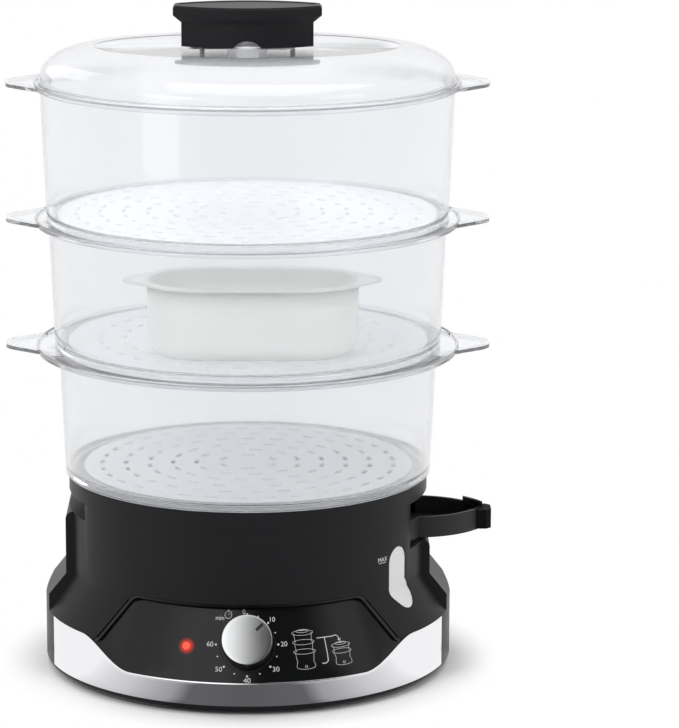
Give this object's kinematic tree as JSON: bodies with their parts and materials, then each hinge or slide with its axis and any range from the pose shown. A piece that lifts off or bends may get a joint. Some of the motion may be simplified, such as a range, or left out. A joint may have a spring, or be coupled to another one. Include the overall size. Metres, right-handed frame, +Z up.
{
  "type": "electric food steamer",
  "caption": "Round electric food steamer: timer base with water tank and side filler, stacked clear steaming bowls with slotted floors, an oval rice bowl and a domed lid with a handle.",
  "frame": {"origin": "on the table, at the bottom centre of the box around the whole steamer, within 2 mm of the axis of the round base", "axes": "+Z up along the stack; the control panel faces -Y; the filler spout points along +X"},
  "size_m": [0.2966, 0.2686, 0.4046],
  "materials": {
    "housing_plastic": "satin, faintly grained",
    "band_chrome": "polished",
    "panel_gloss": "gloss",
    "lamp_lens": "clear tinted",
    "lamp_glass": "clear",
    "timer_metal": "stamped",
    "screw_steel": "zinc",
    "window_frosted": "frosted",
    "tank_plastic": "satin",
    "cover_plastic": "satin",
    "feet_rubber": "matte",
    "plate_steel": "satin",
    "gasket_silicone": "matte",
    "element_metal": "dull",
    "clamp_aluminium": "dull",
    "control_plastic": "matte",
    "terminal_plastic": "matte",
    "live_jacket": "satin",
    "neutral_jacket": "satin",
    "gland_rubber": "matte",
    "knob_plastic": "satin",
    "cap_metal": "spun",
    "shaft_steel": "turned",
    "trim_plastic": "satin",
    "ring_plastic": "satin",
    "tray_plastic": "satin",
    "bowl_clear": "clear, faintly frosted",
    "rice_clear": "milky"
  },
  "bodies": {
    "base": {"outer_housing": "housing_plastic", "top_collar": "housing_plastic", "left_pocket": "housing_plastic", "right_pocket": "housing_plastic", "chrome_band": "band_chrome", "control_panel": "panel_gloss", "indicator_lens": "lamp_lens", "indicator_lamp": "lamp_glass", "timer_body": "timer_metal", "timer_screws": "screw_steel", "water_level_window": "window_frosted", "water_tank": "tank_plastic", "heater_cup": "tank_plastic", "bottom_cover": "cover_plastic", "bottom_screws": "screw_steel", "rubber_feet": "feet_rubber", "heating_plate": "plate_steel", "heater_gasket": "gasket_silicone", "heating_element": "element_metal", "element_clamp": "clamp_aluminium", "thermostat": "control_plastic", "thermal_fuse": "control_plastic", "terminal_block": "terminal_plastic", "live_lead": "live_jacket", "neutral_lead": "neutral_jacket", "cord_gland": "gland_rubber"},
    "timer_dial": {"timer_knob": "knob_plastic", "knob_cap": "cap_metal", "knob_pointer": "knob_plastic", "timer_shaft": "shaft_steel"},
    "filler": {"filler_spout": "trim_plastic"},
    "turbo": {"turbo_ring": "ring_plastic"},
    "juice_tray": {"drip_tray": "tray_plastic", "drip_plate": "tray_plastic", "drip_rim": "tray_plastic"},
    "lower": {"lower_bowl": "bowl_clear", "lower_plate": "bowl_clear"},
    "middle": {"middle_bowl": "bowl_clear", "middle_plate": "bowl_clear"},
    "rice": {"rice_bowl": "rice_clear"},
    "upper": {"upper_bowl": "bowl_clear", "upper_plate": "bowl_clear"},
    "cover": {"lid": "bowl_clear", "lid_handle": "trim_plastic", "lid_handle_screws": "screw_steel"}
  },
  "joints": [
    {"name": "timer_turn", "type": "hinge", "parent": "base", "child": "timer_dial", "pos_m": [0, -0.11428, 0.041], "axis": [0, -0.9026, 0.4305], "range_deg": [-225, 45]},
    {"name": "filler_slide", "type": "slide", "parent": "base", "child": "filler", "axis": [-1, 0, 0], "range_m": [0, 0.034]},
    {"name": "turbo_lift", "type": "slide", "parent": "base", "child": "turbo", "axis": [0, 0, 1], "range_m": [0, 0.09]},
    {"name": "tray_lift", "type": "slide", "parent": "turbo", "child": "juice_tray", "axis": [0, 0, 1], "range_m": [0, 0.04]},
    {"name": "lower_lift", "type": "slide", "parent": "juice_tray", "child": "lower", "axis": [0, 0, 1], "range_m": [0, 0.04]},
    {"name": "middle_lift", "type": "slide", "parent": "lower", "child": "middle", "axis": [0, 0, 1], "range_m": [0, 0.04]},
    {"name": "rice_lift", "type": "slide", "parent": "middle", "child": "rice", "axis": [0, 0, 1], "range_m": [0, 0.09]},
    {"name": "upper_lift", "type": "slide", "parent": "rice", "child": "upper", "axis": [0, 0, 1], "range_m": [0, 0.04]},
    {"name": "cover_lift", "type": "slide", "parent": "upper", "child": "cover", "axis": [0, 0, 1], "range_m": [0, 0.04]}
  ]
}
